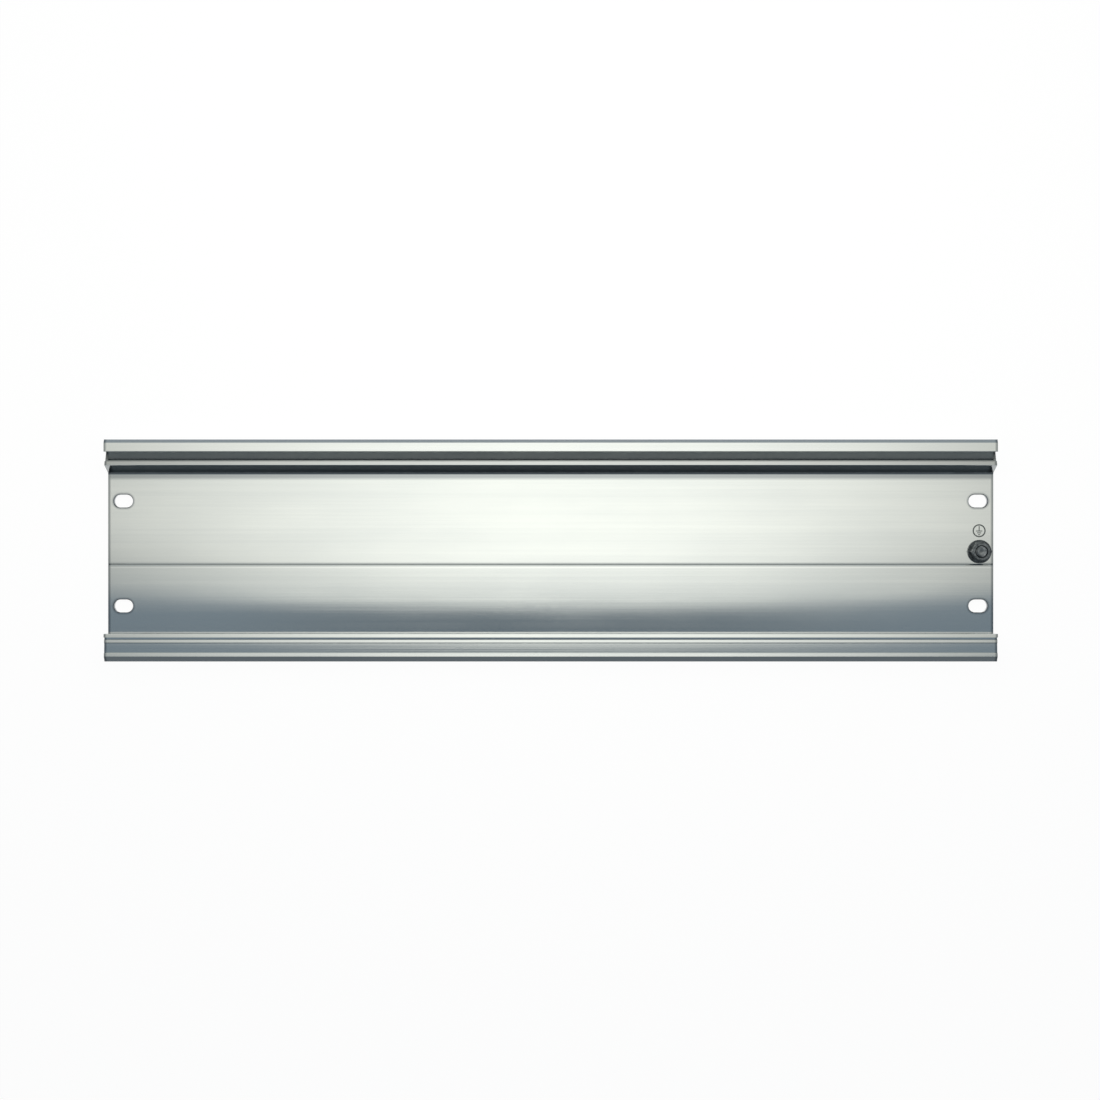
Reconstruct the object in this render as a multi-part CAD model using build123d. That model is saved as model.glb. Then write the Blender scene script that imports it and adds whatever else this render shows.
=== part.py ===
from build123d import *
import math
import os

# Mounting rail for controller modules: one extruded aluminium length and its earth stud set.
# The rail lies on its back. X runs along the length, Y across it with the hooking edge at +Y,
# and Z rises from the wall face of the web to the front of the lips. Sizes are millimetres.

# Overall size
LENGTH = 482.6
HEIGHT = 120.0
DEPTH = 15.0
WALL = 3.0

# Scribed line along the web, below the middle of the height
LINE_BELOW_MIDDLE = 7.6
LINE_WIDTH = 1.0
LINE_DEPTH = 0.4

# Upper flange, from the free edge inward: hooking lip, groove, rib and sloping wall
LIP_WIDTH = 6.6
LIP_THICKNESS = 2.2
LIP_CHAMFER_WIDTH = 1.8
LIP_CHAMFER_DROP = 1.2
GROOVE_WIDTH = 4.9
GROOVE_DEPTH = 5.4
GROOVE_FLOOR_RISE = 2.0
GROOVE_FLOOR_THICKNESS = 2.6
RIB_WIDTH = 2.3
RIB_OUTER_DROP = 2.8
RIB_INNER_DROP = 1.8
SLOPE_RUN = 4.0

# Lower flange, from the web outward: front lip, crease, ridge, trough, ridge, chamfer and skirt
# Its faces rise outward by a few degrees, about the middle of the trough
FLANGE_TILT = 4.5
FRONT_LIP_WIDTH = 1.9
CREASE_WIDTH = 1.2
CREASE_DEPTH = 2.2
RIDGE_DROP = 1.1
UPPER_RIDGE_WIDTH = 1.8
TROUGH_WIDTH = 5.5
TROUGH_DEPTH = 0.7
TROUGH_STEP_RUN = 0.2
TROUGH_FLOOR_RISE = 0.23
LOWER_RIDGE_WIDTH = 1.8
CHAMFER_WIDTH = 2.8
CHAMFER_DROP = 2.6
SKIRT_ABOVE_WALL_FACE = 3.0

# Small radii of the drawn edges and corners
EDGE_RADIUS = 0.3
RIB_EDGE_RADIUS = 0.5
UPPER_CORNER_RADIUS = 1.2
LOWER_CORNER_RADIUS = 0.5

# Fixing slots
SLOT_END_DISTANCE = 8.3
SLOT_SPAN_Y = 57.2
SLOT_BELOW_MIDDLE = 1.6
SLOT_LENGTH = 10.3
SLOT_WIDTH = 7.0
SLOT_EDGE_ROLL = 0.4

# Earth stud set, at one end of the web between the slots
STUD_END_DISTANCE = 7.6
STUD_BELOW_MIDDLE = 0.6
STUD_DIAMETER = 6.0
STUD_BEYOND_NUT = 1.0
STUD_TIP_CHAMFER = 0.8
STUD_HEAD_DIAMETER = 9.0
STUD_HEAD_THICKNESS = 1.0
STUD_FIT = 0.1
WASHER_DIAMETER = 12.8
WASHER_THICKNESS = 1.6
WASHER_EDGE_CHAMFER = 0.25
NUT_ACROSS_FLATS = 10.0
NUT_THICKNESS = 5.0
NUT_CROWN_DIAMETER = 9.4
NUT_BEVEL_ANGLE = 30.0
NUT_BORE_CHAMFER = 0.4

# Distance within which an edge is taken to be at the place looked for
SAME_PLACE = 0.01

# Places across the rail and above its wall face that follow from the sizes above
TOP = HEIGHT / 2
BOTTOM = -HEIGHT / 2
GROOVE_TOP = TOP - LIP_WIDTH
RIB_TOP = GROOVE_TOP - GROOVE_WIDTH
RIB_BOTTOM = RIB_TOP - RIB_WIDTH
RIB_Z = DEPTH - RIB_INNER_DROP
WEB_TOP = RIB_BOTTOM - SLOPE_RUN
CHAMFER_TOP = BOTTOM + CHAMFER_WIDTH
TROUGH_BOTTOM = CHAMFER_TOP + LOWER_RIDGE_WIDTH
TROUGH_TOP = TROUGH_BOTTOM + TROUGH_WIDTH
CREASE_BOTTOM = TROUGH_TOP + UPPER_RIDGE_WIDTH
CREASE_TOP = CREASE_BOTTOM + CREASE_WIDTH
WEB_BOTTOM = CREASE_TOP + FRONT_LIP_WIDTH
TROUGH_MIDDLE = (TROUGH_TOP + TROUGH_BOTTOM) / 2
FLANGE_RISE = math.tan(math.radians(FLANGE_TILT))
RIDGE_Z = DEPTH - RIDGE_DROP
STUD_X = LENGTH / 2 - STUD_END_DISTANCE
STUD_Y = -STUD_BELOW_MIDDLE


def flange_z(y):
    """Height of the lower flange's ridges at Y."""
    return RIDGE_Z + (TROUGH_MIDDLE - y) * FLANGE_RISE


def rail_section():
    """Outline of the extrusion as (Y, Z) points, from the wall face of the web around it."""
    slope = SLOPE_RUN / (RIB_Z - WALL)
    slope_back = WEB_TOP + WALL / math.cos(math.atan(slope))
    hook_root = DEPTH - GROOVE_DEPTH - GROOVE_FLOOR_THICKNESS
    line_y = -LINE_BELOW_MIDDLE
    groove_z = DEPTH - GROOVE_DEPTH
    trough_z = RIDGE_Z - TROUGH_DEPTH
    flange_back = trough_z - WALL
    return [
        (WEB_BOTTOM - WALL, 0),
        (slope_back - WALL * slope, 0),
        (slope_back + (hook_root - WALL) * slope, hook_root),
        (GROOVE_TOP + LIP_THICKNESS, hook_root),
        (GROOVE_TOP + LIP_THICKNESS, DEPTH - LIP_THICKNESS),
        (TOP, DEPTH - LIP_THICKNESS),
        (TOP, DEPTH - LIP_CHAMFER_DROP),
        (TOP - LIP_CHAMFER_WIDTH, DEPTH),
        (GROOVE_TOP, DEPTH),
        (GROOVE_TOP, groove_z - GROOVE_FLOOR_RISE / 2),
        (RIB_TOP, groove_z + GROOVE_FLOOR_RISE / 2),
        (RIB_TOP, DEPTH - RIB_OUTER_DROP),
        (RIB_BOTTOM, RIB_Z),
        (WEB_TOP, WALL),
        (line_y + LINE_WIDTH / 2, WALL),
        (line_y, WALL - LINE_DEPTH),
        (line_y - LINE_WIDTH / 2, WALL),
        (WEB_BOTTOM, WALL),
        (WEB_BOTTOM, DEPTH - FRONT_LIP_WIDTH * FLANGE_RISE),
        (CREASE_TOP, DEPTH),
        (CREASE_TOP, DEPTH - CREASE_DEPTH),
        (CREASE_BOTTOM, DEPTH - CREASE_DEPTH),
        (CREASE_BOTTOM, flange_z(CREASE_BOTTOM)),
        (TROUGH_TOP, flange_z(TROUGH_TOP)),
        (TROUGH_TOP - TROUGH_STEP_RUN, trough_z - TROUGH_FLOOR_RISE / 2),
        (TROUGH_BOTTOM + TROUGH_STEP_RUN, trough_z + TROUGH_FLOOR_RISE / 2),
        (TROUGH_BOTTOM, flange_z(TROUGH_BOTTOM)),
        (CHAMFER_TOP, flange_z(CHAMFER_TOP)),
        (BOTTOM, DEPTH - CHAMFER_DROP),
        (BOTTOM, SKIRT_ABOVE_WALL_FACE),
        (BOTTOM + WALL, SKIRT_ABOVE_WALL_FACE),
        (BOTTOM + WALL, flange_back - WALL),
        (CHAMFER_TOP + WALL / 2, flange_back),
        (WEB_BOTTOM - WALL, flange_back),
    ]


def long_edges_at(solid, y, z):
    """Edges along the rail that pass through (Y, Z)."""
    return [
        edge
        for edge in solid.edges().filter_by(Axis.X)
        if abs(edge.center().Y - y) < SAME_PLACE and abs(edge.center().Z - z) < SAME_PLACE
    ]


def rail_blank():
    """The extruded length with its edges and corners rounded, before any hole."""
    outline = Polyline(*rail_section(), close=True)
    blank = extrude(Plane.YZ * make_face(outline), amount=LENGTH / 2, both=True)
    rounded = [
        (GROOVE_TOP, DEPTH, EDGE_RADIUS),
        (RIB_TOP, DEPTH - RIB_OUTER_DROP, RIB_EDGE_RADIUS),
        (RIB_BOTTOM, RIB_Z, RIB_EDGE_RADIUS),
        (WEB_BOTTOM, DEPTH - FRONT_LIP_WIDTH * FLANGE_RISE, EDGE_RADIUS),
        (CREASE_BOTTOM, flange_z(CREASE_BOTTOM), EDGE_RADIUS),
        (TROUGH_TOP, flange_z(TROUGH_TOP), EDGE_RADIUS),
        (TROUGH_BOTTOM, flange_z(TROUGH_BOTTOM), EDGE_RADIUS),
        (WEB_TOP, WALL, UPPER_CORNER_RADIUS),
        (WEB_BOTTOM, WALL, LOWER_CORNER_RADIUS),
    ]
    for y, z, radius in rounded:
        blank = fillet(long_edges_at(blank, y, z), radius)
    return blank


def slot_cutter(x, y):
    """Round-ended slot through the web, and its rolled front edge."""
    opening = SlotOverall(SLOT_LENGTH, SLOT_WIDTH)
    rolled = SlotOverall(SLOT_LENGTH + 2 * SLOT_EDGE_ROLL, SLOT_WIDTH + 2 * SLOT_EDGE_ROLL)
    through = extrude(opening, amount=WALL)
    roll = loft([Pos(0, 0, WALL - SLOT_EDGE_ROLL) * opening, Pos(0, 0, WALL) * rolled])
    return Pos(x, y, 0) * (through + roll)


def mounting_rail():
    """The finished rail: blank, four slots and the stepped bore for the earth stud."""
    rail = rail_blank()
    for side_x in (-1, 1):
        for side_y in (-1, 1):
            x = side_x * (LENGTH / 2 - SLOT_END_DISTANCE)
            y = side_y * SLOT_SPAN_Y / 2 - SLOT_BELOW_MIDDLE
            rail -= slot_cutter(x, y)
    shank_bore = extrude(Circle(STUD_DIAMETER / 2 + STUD_FIT), amount=WALL)
    head_bore = extrude(Circle(STUD_HEAD_DIAMETER / 2 + STUD_FIT), amount=STUD_HEAD_THICKNESS)
    rail -= Pos(STUD_X, STUD_Y, 0) * shank_bore
    rail -= Pos(STUD_X, STUD_Y, 0) * head_bore
    return rail


def earth_stud():
    """Flush-headed stud whose shank stands out of the web, with a chamfered tip."""
    head = extrude(Circle(STUD_HEAD_DIAMETER / 2), amount=STUD_HEAD_THICKNESS)
    tip_z = WALL + WASHER_THICKNESS + NUT_THICKNESS + STUD_BEYOND_NUT
    shank = extrude(Circle(STUD_DIAMETER / 2), amount=tip_z)
    tip = shank.edges().filter_by(GeomType.CIRCLE).sort_by(Axis.Z)[-1]
    shank = chamfer(tip, STUD_TIP_CHAMFER)
    return Pos(STUD_X, STUD_Y, 0) * (head + shank)


def flat_washer():
    """Round washer lying on the web."""
    face = Circle(WASHER_DIAMETER / 2) - Circle(STUD_DIAMETER / 2 + STUD_FIT)
    ring = extrude(face, amount=WASHER_THICKNESS)
    rim = [
        e
        for e in ring.edges().filter_by(GeomType.CIRCLE)
        if e.radius > WASHER_DIAMETER / 2 - SAME_PLACE
        and e.center().Z > WASHER_THICKNESS - SAME_PLACE
    ]
    ring = chamfer(rim, WASHER_EDGE_CHAMFER)
    return Pos(STUD_X, STUD_Y, WALL) * ring


def hex_nut():
    """Hexagon nut with a flat toward the upper edge and bevelled corners at its outer face."""
    corner_radius = NUT_ACROSS_FLATS / math.sqrt(3)
    prism = extrude(RegularPolygon(corner_radius, 6), amount=NUT_THICKNESS)
    crown_radius = NUT_CROWN_DIAMETER / 2
    spread = NUT_THICKNESS / math.tan(math.radians(NUT_BEVEL_ANGLE))
    standing = (Align.CENTER, Align.CENTER, Align.MIN)
    bevel = Cone(crown_radius + spread, crown_radius, NUT_THICKNESS, align=standing)
    bore = extrude(Circle(STUD_DIAMETER / 2 + STUD_FIT), amount=NUT_THICKNESS)
    nut = (prism & bevel) - bore
    round_edges = nut.edges().filter_by(GeomType.CIRCLE)
    bore_rims = [edge for edge in round_edges if edge.radius < STUD_DIAMETER / 2 + 2 * STUD_FIT]
    nut = chamfer(bore_rims, NUT_BORE_CHAMFER)
    return Pos(STUD_X, STUD_Y, WALL + WASHER_THICKNESS) * nut


os.makedirs("parts", exist_ok=True)
export_step(mounting_rail(), "parts/mounting_rail.step")
export_step(earth_stud(), "parts/earth_stud.step")
export_step(flat_washer(), "parts/flat_washer.step")
export_step(hex_nut(), "parts/hex_nut.step")
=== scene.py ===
import logging
import math
from dataclasses import dataclass
from enum import Enum
from typing import Callable, Sequence

import bmesh
import bpy
from mathutils import Matrix, Vector


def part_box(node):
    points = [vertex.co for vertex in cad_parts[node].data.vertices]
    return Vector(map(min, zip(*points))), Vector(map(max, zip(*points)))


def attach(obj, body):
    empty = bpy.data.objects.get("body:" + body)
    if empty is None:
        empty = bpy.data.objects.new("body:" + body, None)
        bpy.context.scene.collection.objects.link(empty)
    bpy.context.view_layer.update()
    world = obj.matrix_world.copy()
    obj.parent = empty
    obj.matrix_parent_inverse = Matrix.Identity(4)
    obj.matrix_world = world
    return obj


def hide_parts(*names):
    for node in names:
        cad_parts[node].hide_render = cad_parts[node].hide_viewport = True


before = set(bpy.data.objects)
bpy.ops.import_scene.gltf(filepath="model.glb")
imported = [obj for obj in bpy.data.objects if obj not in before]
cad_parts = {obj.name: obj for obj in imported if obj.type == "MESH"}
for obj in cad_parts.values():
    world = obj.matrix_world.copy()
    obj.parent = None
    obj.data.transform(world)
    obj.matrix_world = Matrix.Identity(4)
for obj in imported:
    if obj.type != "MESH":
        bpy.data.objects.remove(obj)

LOG = logging.getLogger("rail_scene")
MM = 0.001
BODY = "root"

Colour = tuple[float, float, float]
Socket = bpy.types.NodeSocket
Point = tuple[float, float]
Rim = list[bmesh.types.BMEdge]


class Part(Enum):
    """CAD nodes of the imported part, with the record's material slot of each."""

    RAIL = ("mounting_rail", "rail_aluminium")
    STUD = ("earth_stud", "stud_steel")
    WASHER = ("flat_washer", "washer_steel")
    NUT = ("hex_nut", "nut_steel")

    @property
    def node(self) -> str:
        """Name of the CAD node."""
        return self.value[0]

    @property
    def slot(self) -> str:
        """Name of the record's material slot."""
        return self.value[1]


@dataclass(frozen=True)
class Ramp:
    """Smooth step from start to end, as another value goes from low to high."""

    low: float
    high: float
    start: float
    end: float

    def scaled(self, factor: float) -> "Ramp":
        """The same step over a range that is larger by a factor."""
        return Ramp(self.low * factor, self.high * factor, self.start, self.end)


@dataclass(frozen=True)
class Band:
    """Stripe that is full near its middle and fades out on both sides, in metres."""

    middle: float
    full: float
    end: float
    strength: float = 1.0


@dataclass(frozen=True)
class Grain:
    """Layer of noise, with cycles per metre along X, Y and Z."""

    scale: Colour
    octaves: float
    fineness: float


@dataclass(frozen=True)
class DrawnLines:
    """Marks that drawing through the die leaves along the rail."""

    bands: Grain = Grain((0.8, 160.0, 160.0), 3.0, 0.6)
    lines: Grain = Grain((6.0, 2600.0, 2600.0), 4.0, 0.7)
    clouds: Grain = Grain((9.0, 26.0, 26.0), 4.0, 0.55)


@dataclass(frozen=True)
class CutEnds:
    """Which faces are the sawn ends, and how far the painted shade reaches in from them."""

    facing: Ramp = Ramp(0.5, 0.9, 0.0, 1.0)
    # Painted shade that darkens the last millimetres at each end.
    end_shade: Ramp = Ramp(0.5 * MM, 1.8 * MM, 1.0, 0.0)
    sloping_wall: Band = Band(44.2 * MM, 1.6 * MM, 2.2 * MM)
    # Painted shade reaching further in along the sloping wall, darkening the floor's reflection there.
    wall_end_shade: Ramp = Ramp(2.2 * MM, 4.5 * MM, 1.0, 0.0)


@dataclass(frozen=True)
class SlotRimShade:
    """Places and sizes of the fixing slots and of the painted shade around each rim, in metres."""

    end_distance: float = 8.3 * MM
    span: float = 57.2 * MM
    below_middle: float = 1.6 * MM
    length: float = 10.3 * MM
    width: float = 7.0 * MM
    # Painted shade: a darker ring around each slot.
    rim: Ramp = Ramp(0.35 * MM, 1.6 * MM, 1.0, 0.0)


@dataclass(frozen=True)
class RailFinish:
    """Look of the drawn aluminium."""

    bright: Colour = (0.83, 0.845, 0.82)
    dull: Colour = (0.74, 0.76, 0.75)
    # Painted highlight colour, laid in a strip just below the scribe line.
    painted_highlight: Colour = (0.95, 0.96, 0.935)
    # Colour of the sawn end faces, also used for painted shade at the wall's foot and around the slots.
    cut_end_and_shade: Colour = (0.4, 0.42, 0.43)
    # Dark colour of the painted shade in the scribe line, the groove's corner and along the ends.
    painted_shade_dark: Colour = (0.3, 0.32, 0.325)
    band_tone: Ramp = Ramp(0.3, 0.7, 0.0, 0.4)
    line_tone: Ramp = Ramp(0.35, 0.65, 0.0, 0.3)
    cloud_tone: Ramp = Ramp(0.35, 0.7, 0.0, 0.4)
    # Strength of the painted shade around the slots.
    rim_shade_strength: float = 0.8
    # Strength of the painted shade along the ends.
    end_shade_strength: float = 0.9
    # Painted shade on the web at the foot of the upper sloping wall.
    wall_root_shade: Band = Band(40.8 * MM, 0.6 * MM, 2.9 * MM, 0.95)
    # Painted shade darkening the scribe line's groove.
    scribed_groove_shade: Band = Band(-7.5 * MM, 0.9 * MM, 1.6 * MM, 0.22)
    # Painted highlight: a bright strip just below the scribe line.
    scribed_highlight: Band = Band(-9.3 * MM, 0.15 * MM, 0.5 * MM, 0.7)
    groove: Band = Band(51.7 * MM, 1.4 * MM, 2.6 * MM)
    # Painted shade: a dark line in the groove's corner next to the rib.
    groove_corner_shade: Band = Band(49.5 * MM, 0.6 * MM, 1.2 * MM, 0.65)
    groove_height: Ramp = Ramp(11.0 * MM, 12.5 * MM, 1.0, 0.0)
    roughness: Ramp = Ramp(0.7, 1.3, 0.08, 0.125)
    groove_roughness: float = 0.3
    end_roughness: float = 0.42
    relief: float = 0.0035 * MM
    band_relief: float = 0.6


@dataclass(frozen=True)
class SteelFinish:
    """Look of the dark passivated steel of the fasteners."""

    dark: Colour
    light: Colour
    grain: Grain = Grain((900.0, 900.0, 900.0), 4.0, 0.6)
    patches: Grain = Grain((220.0, 220.0, 220.0), 2.0, 0.5)
    tone: Ramp = Ramp(0.4, 0.62, 0.0, 1.0)
    roughness: Ramp = Ramp(0.38, 0.64, 0.5, 0.3)
    relief: float = 0.01 * MM
    relief_strength: float = 0.5


@dataclass(frozen=True)
class InkFinish:
    """Look of the printed sign."""

    dense: Colour = (0.13, 0.145, 0.145)
    thin: Colour = (0.27, 0.29, 0.285)
    specks: Grain = Grain((2400.0, 2400.0, 2400.0), 2.0, 0.5)
    streaks: Ramp = Ramp(0.4, 0.7, 0.0, 0.6)
    wear: Ramp = Ramp(0.55, 0.75, 0.0, 0.6)
    roughness: Ramp = Ramp(0.3, 0.7, 0.5, 0.7)


class Tree:
    """Short calls for building one node tree."""

    def __init__(self, tree: bpy.types.NodeTree) -> None:
        """Keeps the node tree that the calls add to."""
        self.tree = tree

    def add(self, kind: str, **values: object) -> bpy.types.Node:
        """Adds a node.

        Args:
            kind: Blender's node type name.
            values: Properties to set on the node.

        Returns:
            The new node.
        """
        node = self.tree.nodes.new(kind)
        for name, value in values.items():
            setattr(node, name, value)
        return node

    def put(self, socket: Socket, value: object) -> None:
        """Feeds an input socket with another socket or with a constant.

        Args:
            socket: The input to feed.
            value: An output socket, or a plain value.
        """
        if isinstance(value, bpy.types.NodeSocket):
            self.tree.links.new(value, socket)
        elif isinstance(value, (tuple, list)) and socket.type == "RGBA" and len(value) == 3:
            socket.default_value = (*value, 1.0)
        else:
            socket.default_value = value

    def maths(self, operation: str, *inputs: object, clamp: bool = False) -> Socket:
        """Adds a Math node.

        Args:
            operation: The node's operation.
            inputs: Sockets or numbers for its inputs.
            clamp: Keeps the result between 0 and 1.

        Returns:
            The result's socket.
        """
        node = self.add("ShaderNodeMath", operation=operation, use_clamp=clamp)
        for place, value in enumerate(inputs):
            self.put(node.inputs[place], value)
        return node.outputs[0]

    def axes(self, vector: Socket) -> Sequence[Socket]:
        """Splits a vector.

        Args:
            vector: The vector's socket.

        Returns:
            Sockets of its X, Y and Z.
        """
        node = self.add("ShaderNodeSeparateXYZ")
        self.put(node.inputs[0], vector)
        return node.outputs[:]

    def remap(self, value: Socket, low: float, high: float, start: object, end: object) -> Socket:
        """Maps a value's range to another, smoothly and clamped.

        Args:
            value: The value to map.
            low: Start of its range.
            high: End of its range.
            start: Result at the start, a number or a socket.
            end: Result at the end, a number or a socket.

        Returns:
            The mapped value's socket.
        """
        node = self.add("ShaderNodeMapRange", interpolation_type="SMOOTHSTEP")
        for place, item in enumerate((value, low, high, start, end)):
            self.put(node.inputs[place], item)
        return node.outputs[0]

    def ramp(self, value: Socket, ramp: Ramp) -> Socket:
        """Puts a value through a named ramp."""
        return self.remap(value, ramp.low, ramp.high, ramp.start, ramp.end)

    def band(self, value: Socket, band: Band) -> Socket:
        """Mask of a stripe.

        Args:
            value: The coordinate across the stripe.
            band: The stripe's place, width and strength.

        Returns:
            The mask's socket.
        """
        away = self.maths("ABSOLUTE", self.maths("SUBTRACT", value, band.middle))
        return self.remap(away, band.full, band.end, band.strength, 0.0)

    def blend(self, factor: object, first: object, second: object) -> Socket:
        """Mixes two colours.

        Args:
            factor: Share of the second colour.
            first: First colour or socket.
            second: Second colour or socket.

        Returns:
            The mixed colour's socket.
        """
        node = self.add("ShaderNodeMix", data_type="RGBA")
        self.put(node.inputs[0], factor)
        self.put(node.inputs[6], first)
        self.put(node.inputs[7], second)
        return node.outputs[2]

    def noise(self, vector: Socket, grain: Grain) -> Socket:
        """Noise drawn out by a different scale along each axis.

        Args:
            vector: Coordinates in metres.
            grain: Scale and detail of the noise.

        Returns:
            The noise value's socket.
        """
        mapping = self.add("ShaderNodeMapping")
        self.put(mapping.inputs["Vector"], vector)
        self.put(mapping.inputs["Scale"], grain.scale)
        noise = self.add("ShaderNodeTexNoise")
        self.put(noise.inputs["Vector"], mapping.outputs[0])
        self.put(noise.inputs["Scale"], 1.0)
        self.put(noise.inputs["Detail"], grain.octaves)
        self.put(noise.inputs["Roughness"], grain.fineness)
        return noise.outputs["Fac"]

    def bump(self, height: Socket, distance: float, strength: float) -> Socket:
        """Relief from a height.

        Args:
            height: The height's socket.
            distance: Height of the relief, in metres.
            strength: Share of it that shows.

        Returns:
            The normal's socket.
        """
        node = self.add("ShaderNodeBump")
        self.put(node.inputs["Strength"], strength)
        self.put(node.inputs["Distance"], distance)
        self.put(node.inputs["Height"], height)
        return node.outputs[0]


def start_group(
    name: str, vectors: Sequence[str], results: Sequence[str]
) -> tuple[bpy.types.NodeTree, Tree, bpy.types.Node, bpy.types.Node]:
    """Starts a shader node group with named sockets.

    Args:
        name: The group's name.
        vectors: Names of its vector inputs.
        results: Names of its value outputs.

    Returns:
        The group, its tree, its input node and its output node.
    """
    group = bpy.data.node_groups.new(name, "ShaderNodeTree")
    for socket in vectors:
        group.interface.new_socket(socket, in_out="INPUT", socket_type="NodeSocketVector")
    for socket in results:
        group.interface.new_socket(socket, in_out="OUTPUT", socket_type="NodeSocketFloat")
    tree = Tree(group)
    return group, tree, tree.add("NodeGroupInput"), tree.add("NodeGroupOutput")


def drawn_lines_group(drawn: DrawnLines) -> bpy.types.NodeTree:
    """Node group for the marks that run along an extrusion.

    Args:
        drawn: Scales of the marks.

    Returns:
        A group from coordinates to broad bands, fine lines and cloudy patches.
    """
    group, tree, source, sink = start_group("Drawn lines", ["Vector"], ["Bands", "Lines", "Clouds"])
    for place, grain in enumerate((drawn.bands, drawn.lines, drawn.clouds)):
        tree.put(sink.inputs[place], tree.noise(source.outputs[0], grain))
    return group


def cut_ends_group(half_length: float, cut: CutEnds) -> bpy.types.NodeTree:
    """Node group that tells the sawn ends, and the painted shade along their edges, from the drawn
    faces.

    Args:
        half_length: Half the rail's length, in metres.
        cut: Which faces are ends, and how far the painted shade reaches.

    Returns:
        A group from coordinates and normal to an end mask and a mask of painted shade along the ends.
    """
    group, tree, source, sink = start_group("Cut ends", ["Vector", "Normal"], ["End", "Edge"])
    along, across, _ = tree.axes(source.outputs["Vector"])
    facing_x, _, _ = tree.axes(source.outputs["Normal"])
    end = tree.ramp(tree.maths("ABSOLUTE", facing_x), cut.facing)
    reach = tree.maths("SUBTRACT", half_length, tree.maths("ABSOLUTE", along))
    # Painted shade on the sloping wall near the ends.
    wall = tree.maths("MULTIPLY", tree.band(across, cut.sloping_wall), tree.ramp(reach, cut.wall_end_shade))
    edge = tree.maths("MAXIMUM", tree.ramp(reach, cut.end_shade), wall)
    tree.put(sink.inputs["End"], end)
    tree.put(sink.inputs["Edge"], edge)
    return group


def slot_rim_shade_group(half_length: float, slots: SlotRimShade) -> bpy.types.NodeTree:
    """Node group for the painted shade around the rim of each of the four fixing slots.

    Args:
        half_length: Half the rail's length, in metres.
        slots: Places and sizes of the slots.

    Returns:
        A group from coordinates to a mask of the painted shade around the slots.
    """
    group, tree, source, sink = start_group("Slot rim shade", ["Vector"], ["Rim"])
    along, across, _ = tree.axes(source.outputs["Vector"])
    centre_x = half_length - slots.end_distance
    dx = tree.maths("SUBTRACT", tree.maths("ABSOLUTE", along), centre_x)
    dx = tree.maths("SUBTRACT", tree.maths("ABSOLUTE", dx), (slots.length - slots.width) / 2)
    dx = tree.maths("MAXIMUM", dx, 0.0)
    dy = tree.maths("ABSOLUTE", tree.maths("ADD", across, slots.below_middle))
    dy = tree.maths("SUBTRACT", dy, slots.span / 2)
    square = tree.maths("ADD", tree.maths("MULTIPLY", dx, dx), tree.maths("MULTIPLY", dy, dy))
    reach = tree.maths("SUBTRACT", tree.maths("SQRT", square), slots.width / 2)
    tree.put(sink.inputs["Rim"], tree.ramp(reach, slots.rim))
    return group


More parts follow.
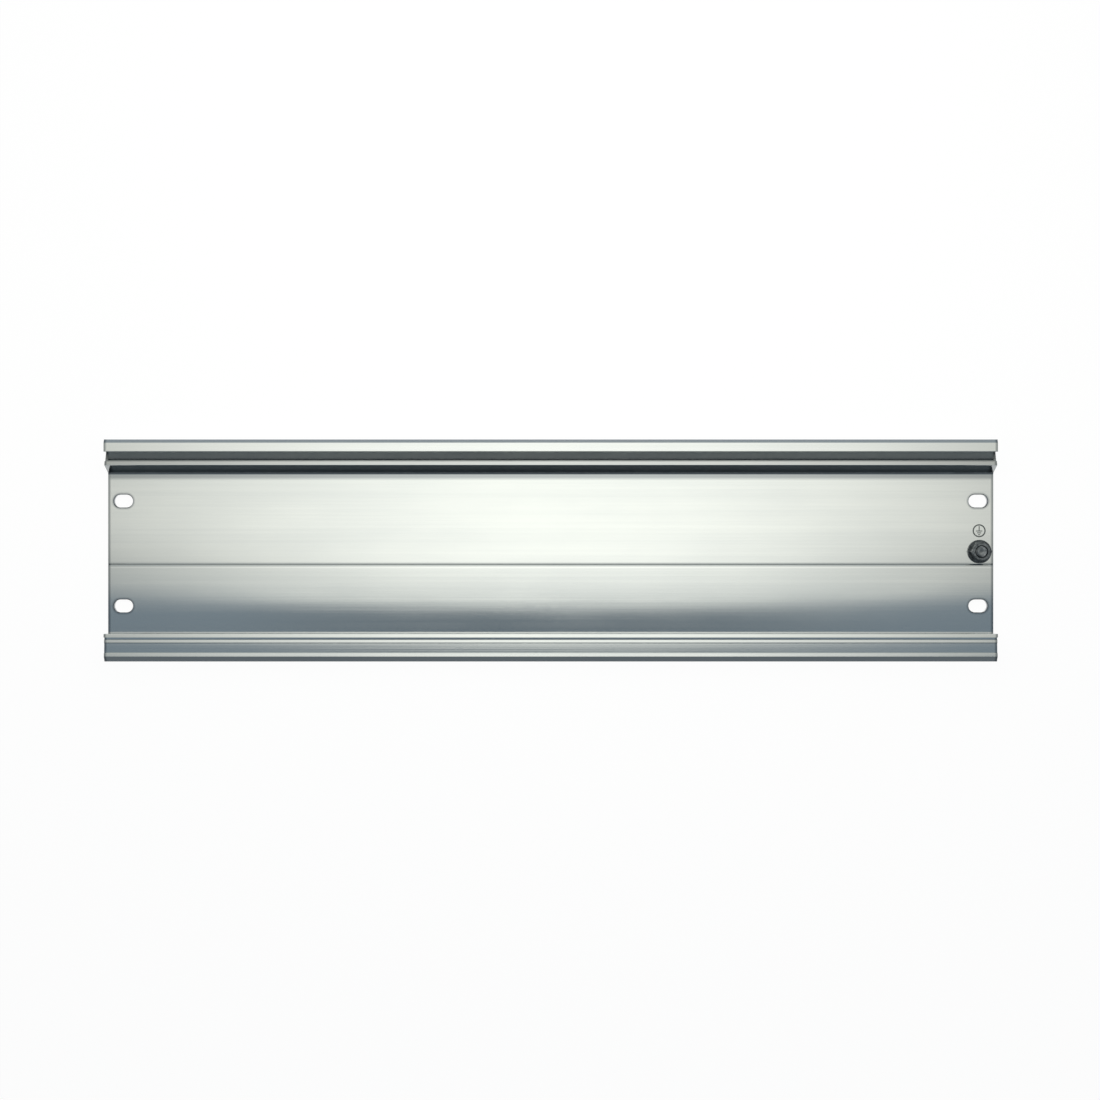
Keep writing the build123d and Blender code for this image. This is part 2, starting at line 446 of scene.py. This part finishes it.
class MaterialShop:
    """Makes the procedural materials."""

    def __init__(self, half_length: float) -> None:
        """Builds the node groups that the materials share.

        Args:
            half_length: Half the rail's length, in metres.
        """
        self.lines = drawn_lines_group(DrawnLines())
        self.ends = cut_ends_group(half_length, CutEnds())
        self.rims = slot_rim_shade_group(half_length, SlotRimShade())

    def _start(self, name: str) -> tuple[bpy.types.Material, Tree, bpy.types.Node, bpy.types.Node]:
        """Starts a material.

        Args:
            name: Name of the material.

        Returns:
            The material, its tree, its Principled shader and its coordinates node.
        """
        material = bpy.data.materials.new(name)
        material.use_nodes = True
        tree = Tree(material.node_tree)
        shader = material.node_tree.nodes["Principled BSDF"]
        return material, tree, shader, tree.add("ShaderNodeTexCoord")

    def _use_group(self, tree: Tree, group: bpy.types.NodeTree, *inputs: Socket) -> bpy.types.Node:
        """Places a node group.

        Args:
            tree: The material's tree.
            group: The group to place.
            inputs: Sockets for its inputs, in order.

        Returns:
            The group's node.
        """
        node = tree.add("ShaderNodeGroup", node_tree=group)
        for place, value in enumerate(inputs):
            tree.put(node.inputs[place], value)
        return node

    def rail(self, finish: RailFinish) -> bpy.types.Material:
        """Drawn aluminium with die lines, cloudy tint and sawn ends; painted shade in the scribe line,
        the groove's corner, at the wall's foot, around the slots and along the ends; a painted highlight
        just below the scribe line.

        Args:
            finish: Colours, masks and roughness.

        Returns:
            The material.
        """
        material, tree, shader, coords = self._start("Drawn aluminium")
        source = coords.outputs["Object"]
        lines = self._use_group(tree, self.lines, source)
        ends = self._use_group(tree, self.ends, source, coords.outputs["Normal"])
        rims = self._use_group(tree, self.rims, source)
        bands, fine, clouds = lines.outputs
        _, across, height = tree.axes(source)
        tone = tree.ramp(bands, finish.band_tone)
        tone = tree.maths("ADD", tone, tree.ramp(fine, finish.line_tone))
        tone = tree.maths("ADD", tone, tree.ramp(clouds, finish.cloud_tone), clamp=True)
        colour = tree.blend(tone, finish.bright, finish.dull)
        # Painted shade: a darker ring around each slot.
        rim = tree.maths("MULTIPLY", rims.outputs["Rim"], finish.rim_shade_strength)
        colour = tree.blend(rim, colour, finish.cut_end_and_shade)
        # Painted shade on the web at the foot of the upper sloping wall.
        colour = tree.blend(tree.band(across, finish.wall_root_shade), colour, finish.cut_end_and_shade)
        # Painted highlight just below the scribe line.
        colour = tree.blend(tree.band(across, finish.scribed_highlight), colour, finish.painted_highlight)
        # Painted shade in the scribe line's groove.
        colour = tree.blend(tree.band(across, finish.scribed_groove_shade), colour, finish.painted_shade_dark)
        sunk = tree.ramp(height, finish.groove_height)
        # Painted shade in the groove's corner next to the rib, only low in the groove.
        corner = tree.maths("MULTIPLY", tree.band(across, finish.groove_corner_shade), sunk)
        colour = tree.blend(corner, colour, finish.painted_shade_dark)
        # Painted shade along the ends.
        end_shade = tree.maths("MULTIPLY", ends.outputs["Edge"], finish.end_shade_strength)
        colour = tree.blend(end_shade, colour, finish.painted_shade_dark)
        colour = tree.blend(ends.outputs["End"], colour, finish.cut_end_and_shade)
        tree.put(shader.inputs["Base Color"], colour)
        shader.inputs["Metallic"].default_value = 1.0
        rough = tree.ramp(tree.maths("ADD", bands, clouds), finish.roughness)
        inside = tree.maths("MULTIPLY", tree.band(across, finish.groove), sunk)
        rough = tree.remap(inside, 0.0, 1.0, rough, finish.groove_roughness)
        rough = tree.remap(ends.outputs["End"], 0.0, 1.0, rough, finish.end_roughness)
        tree.put(shader.inputs["Roughness"], rough)
        relief = tree.maths("ADD", fine, tree.maths("MULTIPLY", bands, finish.band_relief))
        tree.put(shader.inputs["Normal"], tree.bump(relief, finish.relief, 1.0))
        return material

    def steel(self, name: str, finish: SteelFinish) -> bpy.types.Material:
        """Dark passivated steel with a fine uneven grain.

        Args:
            name: Name of the material.
            finish: Colours, grain and roughness.

        Returns:
            The material.
        """
        material, tree, shader, coords = self._start(name)
        source = coords.outputs["Object"]
        grain = tree.noise(source, finish.grain)
        both = tree.maths("ADD", grain, tree.noise(source, finish.patches))
        mixed = tree.maths("MULTIPLY", both, 0.5)
        tone = tree.ramp(mixed, finish.tone)
        tree.put(shader.inputs["Base Color"], tree.blend(tone, finish.dark, finish.light))
        shader.inputs["Metallic"].default_value = 1.0
        tree.put(shader.inputs["Roughness"], tree.ramp(mixed, finish.roughness))
        tree.put(shader.inputs["Normal"], tree.bump(grain, finish.relief, finish.relief_strength))
        return material

    def ink(self, finish: InkFinish) -> bpy.types.Material:
        """Matt printing ink that lets a little of the metal's lines through.

        Args:
            finish: Colours, wear and roughness.

        Returns:
            The material.
        """
        material, tree, shader, coords = self._start("Sign ink")
        source = coords.outputs["Object"]
        lines = self._use_group(tree, self.lines, source)
        specks = tree.noise(source, finish.specks)
        streaks = tree.ramp(lines.outputs["Lines"], finish.streaks)
        thin = tree.maths("ADD", streaks, tree.ramp(specks, finish.wear), clamp=True)
        tree.put(shader.inputs["Base Color"], tree.blend(thin, finish.dense, finish.thin))
        tree.put(shader.inputs["Roughness"], tree.ramp(specks, finish.roughness))
        return material


class MeshPiece:
    """One new visual piece, built in bmesh and placed in the part's frame."""

    SHARP_ANGLE = math.radians(35.0)

    def __init__(self, name: str) -> None:
        """Starts an empty mesh for the piece of this name."""
        self.name = name
        self.bm = bmesh.new()

    def finish(self, place: Vector, material: bpy.types.Material, smooth: bool) -> bpy.types.Object:
        """Moves the mesh to its place and turns it into an object.

        Args:
            place: Where the mesh's own origin goes.
            material: Its only material.
            smooth: Shades the faces smoothly, with sharp edges kept.

        Returns:
            The new object, at the origin.
        """
        bmesh.ops.translate(self.bm, verts=self.bm.verts, vec=place)
        bmesh.ops.recalc_face_normals(self.bm, faces=self.bm.faces)
        mesh = bpy.data.meshes.new(self.name)
        self.bm.to_mesh(mesh)
        self.bm.free()
        mesh.materials.append(material)
        thing = bpy.data.objects.new(self.name, mesh)
        bpy.context.scene.collection.objects.link(thing)
        if smooth:
            mesh.shade_smooth()
            mesh.set_sharp_from_angle(angle=self.SHARP_ANGLE)
        return thing


@dataclass(frozen=True)
class ThreadedStud:
    """Stud with a rolled thread, a flush head and a chamfered, dimpled tip, in metres."""

    top: float
    crest_radius: float = 3.0 * MM
    pitch: float = 1.0 * MM
    thread_depth: float = 0.55 * MM
    crest_share: float = 0.1
    flank_share: float = 0.72
    head_radius: float = 4.5 * MM
    head_thickness: float = 1.0 * MM
    head_edge: float = 0.12 * MM
    tip_chamfer: float = 0.8 * MM
    tip_dimple: float = 0.15 * MM
    dimple_rim: float = 0.72
    dimple_floor: float = 0.45
    around: int = 72
    rings_per_pitch: int = 10

    def _radius(self, angle: float, height: float) -> float:
        """Radius of the thread.

        Args:
            angle: Angle around the axis.
            height: Height above the wall face.

        Returns:
            The radius, in metres.
        """
        turn = (height / self.pitch - angle / (2 * math.pi)) % 1.0
        ramp = abs(turn - 0.5) * 2.0
        flank = min(1.0, max(0.0, (ramp - self.crest_share) / self.flank_share))
        chamfered = self.crest_radius - max(0.0, self.tip_chamfer - (self.top - height))
        return min(self.crest_radius - self.thread_depth * flank, chamfered)

    def _grow(self, piece: MeshPiece, rim: Rim, height: float, radius: Callable[[float], float]) -> Rim:
        """Extrudes the open rim to a new ring around the axis.

        Args:
            piece: The piece that grows.
            rim: Edges of its open rim.
            height: Height of the new ring.
            radius: Radius of the new ring at an angle.

        Returns:
            Edges of the new rim.
        """
        grown = bmesh.ops.extrude_edge_only(piece.bm, edges=rim)["geom"]
        for vert in (item for item in grown if isinstance(item, bmesh.types.BMVert)):
            angle = math.atan2(vert.co.y, vert.co.x)
            reach = radius(angle)
            vert.co = (reach * math.cos(angle), reach * math.sin(angle), height)
        return [item for item in grown if isinstance(item, bmesh.types.BMEdge)]

    def build(self, centre: Vector, material: bpy.types.Material) -> bpy.types.Object:
        """Builds the piece from its head up, ring by ring.

        Args:
            centre: Where the axis meets the wall face.
            material: The steel.

        Returns:
            The stud.
        """
        piece = MeshPiece("threaded_stud")
        head = self.head_radius
        bmesh.ops.create_circle(
            piece.bm, cap_ends=True, segments=self.around, radius=head - self.head_edge
        )
        rim = self._grow(piece, list(piece.bm.edges), self.head_edge, lambda angle: head)
        rim = self._grow(piece, rim, self.head_thickness, lambda angle: head)
        thread = self.top - self.head_thickness
        rings = round(thread / self.pitch * self.rings_per_pitch)
        for ring in range(rings + 1):
            height = self.head_thickness + thread * ring / rings
            rim = self._grow(piece, rim, height, lambda angle, z=height: self._radius(angle, z))
        tip = self.crest_radius - self.tip_chamfer
        rim = self._grow(piece, rim, self.top, lambda angle: tip * self.dimple_rim)
        rim = self._grow(piece, rim, self.top - self.tip_dimple, lambda angle: tip * self.dimple_floor)
        bmesh.ops.contextual_create(piece.bm, geom=rim)
        return piece.finish(centre, material, smooth=True)


@dataclass(frozen=True)
class EarthSign:
    """Generic protective-earth sign: a ring around a stem and three shortening bars, in metres."""

    above_stud: float = 11.4 * MM
    left_of_stud: float = 0.1 * MM
    outer_radius: float = 3.55 * MM
    ring_line: float = 0.7 * MM
    bar_line: float = 0.5 * MM
    stem_top: float = 2.6 * MM
    bar_top: float = 0.1 * MM
    bar_gap: float = 1.0 * MM
    bar_lengths: tuple[float, ...] = (3.4 * MM, 2.2 * MM, 1.0 * MM)
    thickness: float = 0.03 * MM
    around: int = 96

    def _bar(self, piece: MeshPiece, y: float, width: float, height: float) -> None:
        """Adds an upright rectangle on the sign's middle line.

        Args:
            piece: The sign.
            y: Middle of the rectangle, from the sign's centre.
            width: Its size along the rail.
            height: Its size across the rail.
        """
        middle = Vector((0.0, y, self.thickness / 2))
        place = Matrix.LocRotScale(middle, None, Vector((width, height, self.thickness)))
        bmesh.ops.create_cube(piece.bm, size=1.0, matrix=place)

    def _ring(self, piece: MeshPiece) -> None:
        """Spins the ring's section around the sign's centre.

        Args:
            piece: The sign.
        """
        inner = self.outer_radius - self.ring_line
        section = [(inner, 0.0), (self.outer_radius, 0.0)]
        section += [(self.outer_radius, self.thickness), (inner, self.thickness)]
        verts = [piece.bm.verts.new((radius, 0.0, z)) for radius, z in section]
        edges = [piece.bm.edges.new((verts[i], verts[i - 1])) for i in range(len(verts))]
        bmesh.ops.spin(
            piece.bm,
            geom=verts + edges,
            cent=(0.0, 0.0, 0.0),
            axis=(0.0, 0.0, 1.0),
            angle=2 * math.pi,
            steps=self.around,
            use_merge=True,
            use_duplicate=False,
        )

    def build(self, stud: Vector, web_front: float, material: bpy.types.Material) -> bpy.types.Object:
        """Builds the sign.

        Args:
            stud: Where the stud's axis meets the wall face.
            web_front: Height of the web's front.
            material: The ink.

        Returns:
            The sign, lying on the web.
        """
        piece = MeshPiece("earth_sign")
        self._ring(piece)
        stem = self.stem_top - self.bar_top
        self._bar(piece, self.bar_top + stem / 2, self.bar_line, stem)
        for row, length in enumerate(self.bar_lengths):
            middle = self.bar_top - row * self.bar_gap - self.bar_line / 2
            self._bar(piece, middle, length, self.bar_line)
        place = stud + Vector((-self.left_of_stud, self.above_stud, web_front))
        return piece.finish(place, material, smooth=False)


@dataclass(frozen=True)
class Studio:
    """Floor, softbox, air and camera, with places in metres.

    The ramps box_narrowing, box_widening, box_fall and box_first_fall, and box_reach, are
    given on the web, at the spot where it mirrors them to the camera. The softbox's other
    ramps are given on the panel itself, and those of the air by a direction's Y.
    """

    web_front: float
    floor_half: float = 14.0
    floor_drop: float = 0.0006
    floor_colour: Colour = (0.85, 0.85, 0.85)
    floor_glow: float = 1.06
    floor_glow_share: float = 0.9
    box_height: float = 0.3
    box_half_x: float = 0.9
    box_low_y: float = -0.3
    box_high_y: float = 0.78
    box_bow: float = 0.1
    box_level: float = 1.22
    box_reach: float = 0.335
    box_narrowing: Ramp = Ramp(-0.006, 0.012, 1.15, 1.0)
    box_widening: Ramp = Ramp(-0.0275, -0.0215, 0.87, 1.0)
    box_colour: Colour = (0.99, 1.006, 0.96)
    box_fall: Ramp = Ramp(-0.0345, -0.0268, 0.0, 1.0)
    box_first_fall: Ramp = Ramp(-0.0175, -0.004, 0.0, 1.0)
    first_fall_share: Ramp = Ramp(-0.35, 0.35, 0.26, 0.09)
    box_far_fade: Ramp = Ramp(0.12, 0.36, 1.0, 0.74)
    cloth_colour: Colour = (0.19, 0.238, 0.28)
    cloth_middle: Ramp = Ramp(0.7, 1.0, 1.0, 0.76)
    cloth_near_fade: Ramp = Ramp(-0.2, -0.06, 0.22, 1.0)
    air_colour: Colour = (0.17, 0.195, 0.218)
    air_near: Ramp = Ramp(-0.95, -0.6, 0.8, 1.0)
    air_far: Ramp = Ramp(0.75, 0.93, 1.0, 1.7)
    camera_above_web: float = 1.133
    camera_x: float = -0.0004
    camera_y: float = 0.0003
    lens: float = 68.0
    sensor: float = 36.0
    clip_start: float = 0.01
    clip_end: float = 60.0

    def _plane(self, name: str, low: Point, high: Point, z: float) -> tuple[bpy.types.Object, Tree]:
        """Flat rectangle of the stage with an empty material.

        Args:
            name: Name of the rectangle and its material.
            low: Its lowest X and Y.
            high: Its highest X and Y.
            z: Its height.

        Returns:
            The object and its material's tree.
        """
        bm = bmesh.new()
        middle = Vector(((low[0] + high[0]) / 2, (low[1] + high[1]) / 2, z))
        spans = Vector((high[0] - low[0], high[1] - low[1], 1.0))
        place = Matrix.LocRotScale(middle, None, spans)
        bmesh.ops.create_grid(bm, x_segments=1, y_segments=1, size=0.5, matrix=place)
        mesh = bpy.data.meshes.new(name)
        bm.to_mesh(mesh)
        bm.free()
        material = bpy.data.materials.new(name)
        material.use_nodes = True
        material.node_tree.nodes.remove(material.node_tree.nodes["Principled BSDF"])
        mesh.materials.append(material)
        thing = bpy.data.objects.new(name, mesh)
        bpy.context.scene.collection.objects.link(thing)
        return thing, Tree(material.node_tree)

    def _mix_out(self, tree: Tree, share: Socket, first: bpy.types.Node, second: bpy.types.Node) -> None:
        """Mixes two shaders into the material's output.

        Args:
            tree: The material's tree.
            share: Share of the second shader.
            first: The first shader's node.
            second: The second shader's node.
        """
        mix = tree.add("ShaderNodeMixShader")
        tree.put(mix.inputs[0], share)
        tree.put(mix.inputs[1], first.outputs[0])
        tree.put(mix.inputs[2], second.outputs[0])
        tree.put(tree.tree.nodes["Material Output"].inputs["Surface"], mix.outputs[0])

    def floor(self) -> bpy.types.Object:
        """White floor that keeps the object's shadow.

        Returns:
            The floor.
        """
        half = self.floor_half
        thing, tree = self._plane("floor", (-half, -half), (half, half), -self.floor_drop)
        lit = tree.add("ShaderNodeBsdfDiffuse")
        tree.put(lit.inputs["Color"], self.floor_colour)
        glow = tree.add("ShaderNodeEmission")
        tree.put(glow.inputs["Strength"], self.floor_glow)
        rays = tree.add("ShaderNodeLightPath")
        seen = tree.maths("ADD", rays.outputs["Is Camera Ray"], rays.outputs["Is Glossy Ray"])
        seen = tree.maths("ADD", seen, rays.outputs["Is Transmission Ray"], clamp=True)
        self._mix_out(tree, tree.maths("MULTIPLY", seen, self.floor_glow_share), lit, glow)
        return thing

    def softbox(self) -> bpy.types.Object:
        """Large soft light panel over the upper part of the rail, brightest over the middle.

        Returns:
            The panel.
        """
        low = (-self.box_half_x, self.box_low_y)
        high = (self.box_half_x, self.box_high_y)
        thing, tree = self._plane("softbox", low, high, self.web_front + self.box_height)
        x, y, _ = tree.axes(tree.add("ShaderNodeTexCoord").outputs["Object"])
        spread = 1.0 + self.box_height / self.camera_above_web
        across = tree.maths("DIVIDE", x, self.box_reach * spread)
        across = tree.maths("MULTIPLY", across, tree.ramp(y, self.box_narrowing.scaled(spread)))
        across = tree.maths("MULTIPLY", across, tree.ramp(y, self.box_widening.scaled(spread)))
        square = tree.maths("MULTIPLY", across, across)
        bell = tree.maths("EXPONENT", tree.maths("MULTIPLY", square, -1.0))
        bow = tree.maths("MULTIPLY", tree.maths("MULTIPLY", x, x), self.box_bow)
        bowed = tree.maths("SUBTRACT", y, bow)
        share = tree.ramp(x, self.first_fall_share)
        rest = tree.maths("SUBTRACT", 1.0, share)
        fall = tree.maths("MULTIPLY", tree.ramp(bowed, self.box_fall.scaled(spread)), rest)
        first_fall = tree.ramp(bowed, self.box_first_fall.scaled(spread))
        fall = tree.maths("ADD", fall, tree.maths("MULTIPLY", first_fall, share))
        cloth = tree.add("ShaderNodeEmission")
        tree.put(cloth.inputs["Color"], self.cloth_colour)
        dim = tree.ramp(bell, self.cloth_middle)
        dim = tree.maths("MULTIPLY", dim, tree.ramp(y, self.cloth_near_fade))
        tree.put(cloth.inputs["Strength"], dim)
        glow = tree.add("ShaderNodeEmission")
        tree.put(glow.inputs["Color"], self.box_colour)
        level = tree.maths("MULTIPLY", bell, self.box_level)
        level = tree.maths("MULTIPLY", level, tree.ramp(y, self.box_far_fade))
        tree.put(glow.inputs["Strength"], level)
        self._mix_out(tree, fall, cloth, glow)
        thing.visible_camera = False
        thing.visible_shadow = False
        return thing

    def air(self) -> bpy.types.World:
        """Cool grey surroundings, dimmer on the near side and lighter on the far side.

        Returns:
            The world.
        """
        world = bpy.data.worlds.new("Studio air")
        world.use_nodes = True
        tree = Tree(world.node_tree)
        shader = world.node_tree.nodes["Background"]
        tree.put(shader.inputs["Color"], self.air_colour)
        _, toward_far, _ = tree.axes(tree.add("ShaderNodeTexCoord").outputs["Generated"])
        near = tree.ramp(toward_far, self.air_near)
        far = tree.ramp(toward_far, self.air_far)
        tree.put(shader.inputs["Strength"], tree.maths("MULTIPLY", near, far))
        bpy.context.scene.world = world
        return world

    def camera(self) -> bpy.types.Object:
        """Camera straight above the rail.

        Returns:
            The camera.
        """
        data = bpy.data.cameras.new("camera")
        data.lens = self.lens
        data.sensor_width = self.sensor
        data.clip_start = self.clip_start
        data.clip_end = self.clip_end
        thing = bpy.data.objects.new("camera", data)
        thing.location = (self.camera_x, self.camera_y, self.web_front + self.camera_above_web)
        bpy.context.scene.collection.objects.link(thing)
        bpy.context.scene.camera = thing
        return thing


class Dresser:
    """Gives every CAD node its material and adds the pieces that only show."""

    # One steel in lit and shaded copies: the washer's darker as painted shade, the nut's in between, the
    # stud's lighter as a painted highlight on its tip.
    WASHER_STEEL_SHADED = SteelFinish((0.075, 0.083, 0.09), (0.15, 0.163, 0.17))
    NUT_STEEL = SteelFinish((0.11, 0.12, 0.126), (0.24, 0.255, 0.262))
    STUD_STEEL_LIT = SteelFinish((0.2, 0.215, 0.222), (0.42, 0.435, 0.44))

    def __init__(self) -> None:
        """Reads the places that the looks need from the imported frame."""
        low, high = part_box(Part.RAIL.node)
        washer_low, washer_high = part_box(Part.WASHER.node)
        middle = (washer_low + washer_high) / 2
        self.web_front = washer_low.z
        self.stud_foot = Vector((middle.x, middle.y, 0.0))
        self.stud_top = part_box(Part.STUD.node)[1].z
        self.shop = MaterialShop((high.x - low.x) / 2)

    def _dress(self, part: Part, material: bpy.types.Material) -> None:
        """Puts a material on a CAD node and reports it.

        Args:
            part: The CAD node.
            material: Its material.
        """
        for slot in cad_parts[part.node].material_slots:
            slot.material = material
        LOG.info("dressed %s in %s", part.node, material.name)

    def nodes(self) -> None:
        """Dresses the CAD nodes that keep their shape."""
        self._dress(Part.RAIL, self.shop.rail(RailFinish()))
        # Darker copy of the steel: painted shade on the washer.
        self._dress(Part.WASHER, self.shop.steel("Washer steel shaded", self.WASHER_STEEL_SHADED))
        self._dress(Part.NUT, self.shop.steel("Nut steel", self.NUT_STEEL))

    def stud(self) -> bpy.types.Object:
        """Puts the threaded stud in the place of its plain CAD solid.

        Returns:
            The stud.
        """
        # Lighter copy of the steel: painted highlight on the stud's tip.
        steel = self.shop.steel("Stud steel lit", self.STUD_STEEL_LIT)
        threaded = ThreadedStud(self.stud_top).build(self.stud_foot, steel)
        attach(threaded, BODY)
        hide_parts(Part.STUD.node)
        return threaded

    def sign(self) -> bpy.types.Object:
        """Prints the earth sign on the web.

        Returns:
            The sign.
        """
        sign = EarthSign().build(self.stud_foot, self.web_front, self.shop.ink(InkFinish()))
        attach(sign, BODY)
        return sign


def main() -> None:
    """Builds the whole scene and reports each piece."""
    logging.basicConfig(level=logging.INFO)
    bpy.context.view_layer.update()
    dresser = Dresser()
    dresser.nodes()
    for piece in (dresser.stud(), dresser.sign()):
        LOG.info("made %s, %d faces", piece.name, len(piece.data.polygons))
    studio = Studio(dresser.web_front)
    for thing in (studio.floor(), studio.softbox(), studio.air(), studio.camera()):
        LOG.info("set up %s", thing.name)
    bpy.context.scene.view_settings.view_transform = "Standard"


if __name__ == "__main__":
    main()
